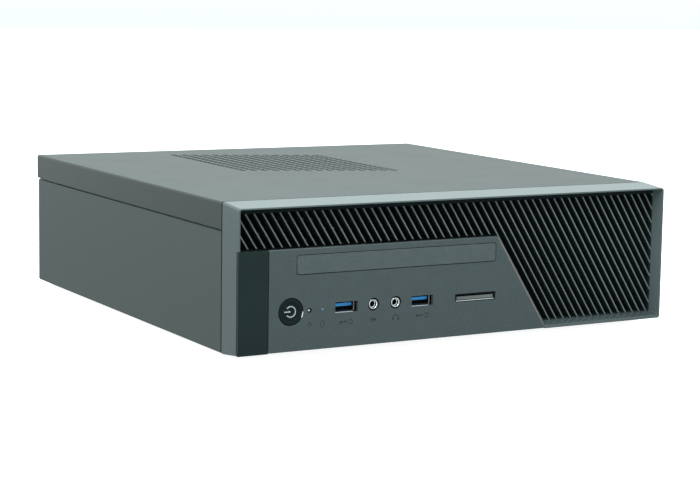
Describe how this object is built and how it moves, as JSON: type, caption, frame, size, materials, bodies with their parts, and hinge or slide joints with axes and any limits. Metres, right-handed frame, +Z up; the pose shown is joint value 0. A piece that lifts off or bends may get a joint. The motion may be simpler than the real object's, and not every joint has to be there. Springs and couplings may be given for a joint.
{
  "type": "slim desktop computer",
  "caption": "Slim desktop computer case lying flat, with diagonal front ribs, front ports, sliding top cover and full inner parts.",
  "frame": {"origin": "centre of the footprint, level with the undersides of the feet", "axes": "+X to the right seen from the front, +Y to the rear, +Z up"},
  "size_m": [0.309, 0.333, 0.093],
  "materials": {
    "cover_paint": "fine-textured dark grey powder coat",
    "chassis_paint": "fine-textured dark grey powder coat",
    "bare_steel": "galvanised sheet",
    "screw_steel": "black nickel",
    "bezel_plastic": "satin moulded",
    "rib_plastic": "satin moulded, lighter front edges",
    "panel_plastic": "fine spark-eroded texture",
    "dark_plastic": "smooth near-black",
    "button_plastic": "polished black",
    "clear_plastic": "clear light guide",
    "port_steel": "bright plated",
    "circuit_board": "solder mask with parts",
    "heatsink_aluminium": "bare extruded",
    "foot_rubber": "matte",
    "cable_sheath": "soft sheath"
  },
  "bodies": {
    "chassis": {"chassis_floor": "chassis_paint", "chassis_wall_left": "chassis_paint", "chassis_wall_right": "chassis_paint", "front_panel": "bare_steel", "front_rail": "bare_steel", "rear_panel": "bare_steel", "front_io_board": "circuit_board", "front_io_bracket": "bare_steel", "power_switch": "dark_plastic", "usb_port_left": "port_steel", "usb_port_right": "port_steel", "microphone_jack": "port_steel", "headphone_jack": "port_steel", "card_reader": "dark_plastic", "foot_front_left": "foot_rubber", "foot_front_right": "foot_rubber", "foot_rear_left": "foot_rubber", "foot_rear_right": "foot_rubber", "motherboard": "circuit_board", "memory_module_1": "circuit_board", "memory_module_2": "circuit_board", "cpu_heatsink": "heatsink_aluminium", "cpu_fan_frame": "dark_plastic", "lan_usb_ports": "port_steel", "usb_ports": "port_steel", "video_ports": "port_steel", "audio_ports": "dark_plastic", "io_shield": "bare_steel", "slot_cover_1": "bare_steel", "slot_cover_2": "bare_steel", "slot_cover_3": "bare_steel", "slot_cover_4": "bare_steel", "psu_case": "bare_steel", "psu_board": "circuit_board", "psu_fan_frame": "dark_plastic", "psu_inlet": "dark_plastic", "drive_cage": "bare_steel", "solid_state_drive": "dark_plastic", "main_power_cable": "cable_sheath", "front_io_cable": "cable_sheath", "drive_cable": "cable_sheath"},
    "cover": {"top_cover": "cover_paint"},
    "left_thumbscrew": {"cover_thumbscrew_left": "screw_steel"},
    "right_thumbscrew": {"cover_thumbscrew_right": "screw_steel"},
    "bezel": {"front_bezel": "bezel_plastic", "side_strip": "dark_plastic", "rib_grille": "rib_plastic", "grille_backing": "dark_plastic", "control_panel": "panel_plastic", "power_light_pipe": "clear_plastic", "drive_light_pipe": "clear_plastic"},
    "bay_blank": {"drive_bay_blank": "panel_plastic"},
    "button": {"power_button": "button_plastic"},
    "cpu_fan": {"cpu_fan_rotor": "dark_plastic"},
    "psu_fan": {"psu_fan_rotor": "dark_plastic"},
    "rocker": {"psu_rocker_switch": "button_plastic"}
  },
  "joints": [
    {"name": "cover_slide", "type": "slide", "parent": "chassis", "child": "cover", "axis": [0, 1, 0], "range_m": [0, 0.32]},
    {"name": "left_thumbscrew_turn", "type": "hinge", "parent": "cover", "child": "left_thumbscrew", "pos_m": [-0.05, 0.16, 0.084], "axis": [0, 1, 0], "continuous": true},
    {"name": "right_thumbscrew_turn", "type": "hinge", "parent": "cover", "child": "right_thumbscrew", "pos_m": [0.094, 0.16, 0.084], "axis": [0, 1, 0], "continuous": true},
    {"name": "bezel_pull", "type": "slide", "parent": "chassis", "child": "bezel", "axis": [0, -1, 0], "range_m": [0, 0.06]},
    {"name": "bay_blank_pull", "type": "slide", "parent": "bezel", "child": "bay_blank", "axis": [0, -1, 0], "range_m": [0, 0.03]},
    {"name": "button_press", "type": "slide", "parent": "bezel", "child": "button", "axis": [0, 1, 0], "range_m": [0, 0.0016], "stiffness_N_per_m": 1200, "springref_m": -0.0003},
    {"name": "cpu_fan_spin", "type": "hinge", "parent": "chassis", "child": "cpu_fan", "pos_m": [0.008, 0.058, 0.0585], "axis": [0, 0, 1], "continuous": true},
    {"name": "psu_fan_spin", "type": "hinge", "parent": "chassis", "child": "psu_fan", "pos_m": [0.13065, 0.151, 0.062], "axis": [0, 1, 0], "continuous": true},
    {"name": "rocker_tilt", "type": "hinge", "parent": "chassis", "child": "rocker", "pos_m": [0.13065, 0.1559, 0.035], "axis": [1, 0, 0], "range_deg": [0, 20]}
  ]
}
